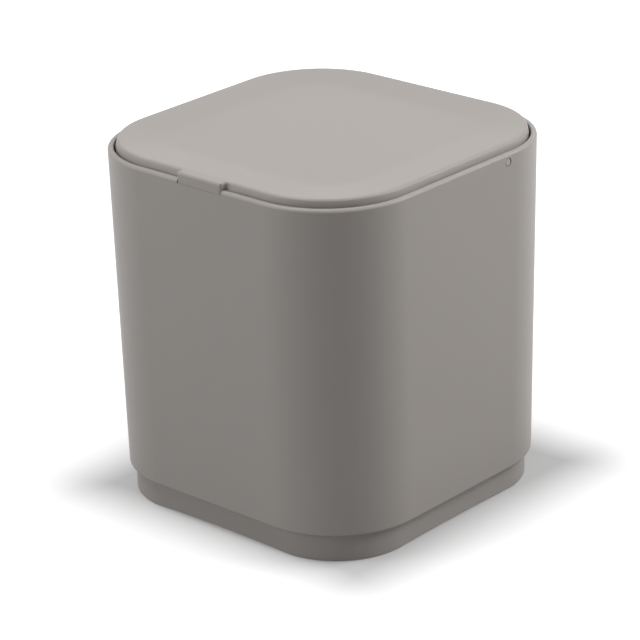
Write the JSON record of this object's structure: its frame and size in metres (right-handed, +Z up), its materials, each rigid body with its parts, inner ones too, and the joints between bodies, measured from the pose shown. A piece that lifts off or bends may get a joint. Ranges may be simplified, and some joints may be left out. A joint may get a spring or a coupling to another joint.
{
  "type": "push top countertop bin",
  "caption": "Small rounded square kitchen bin with a see-saw push lid on side pins, a front finger tab and a recessed foot.",
  "frame": {"origin": "middle of the footprint on the surface that the bin stands on", "axes": "+Z up; -Y towards the front with the lid's tab; +X to the right seen from the front"},
  "size_m": [0.165, 0.165, 0.1741],
  "materials": {
    "shell_grey": "fine satin moulded plastic, warm grey",
    "pin_grey": "smooth moulded plastic, warm grey",
    "bush_white": "slick natural acetal",
    "screw_steel": "zinc plated steel",
    "soft_pad": "soft dark grey rubber"
  },
  "bodies": {
    "bin": {"outer_body": "shell_grey", "base_plinth": "shell_grey", "hinge_pin_left": "pin_grey", "hinge_pin_right": "pin_grey", "base_screws": "screw_steel", "tab_rest_pad": "soft_pad", "foot_pad_front_left": "soft_pad", "foot_pad_front_right": "soft_pad", "foot_pad_rear_left": "soft_pad", "foot_pad_rear_right": "soft_pad"},
    "lid": {"lid_cover": "shell_grey", "lid_underpan": "shell_grey", "underpan_screws": "screw_steel", "pivot_bush_left": "bush_white", "pivot_bush_right": "bush_white"}
  },
  "joints": [
    {"name": "lid_tilt", "type": "hinge", "parent": "bin", "child": "lid", "pos_m": [0, 0.0326, 0.1666], "axis": [-1, 0, 0], "range_deg": [0, 75]}
  ]
}
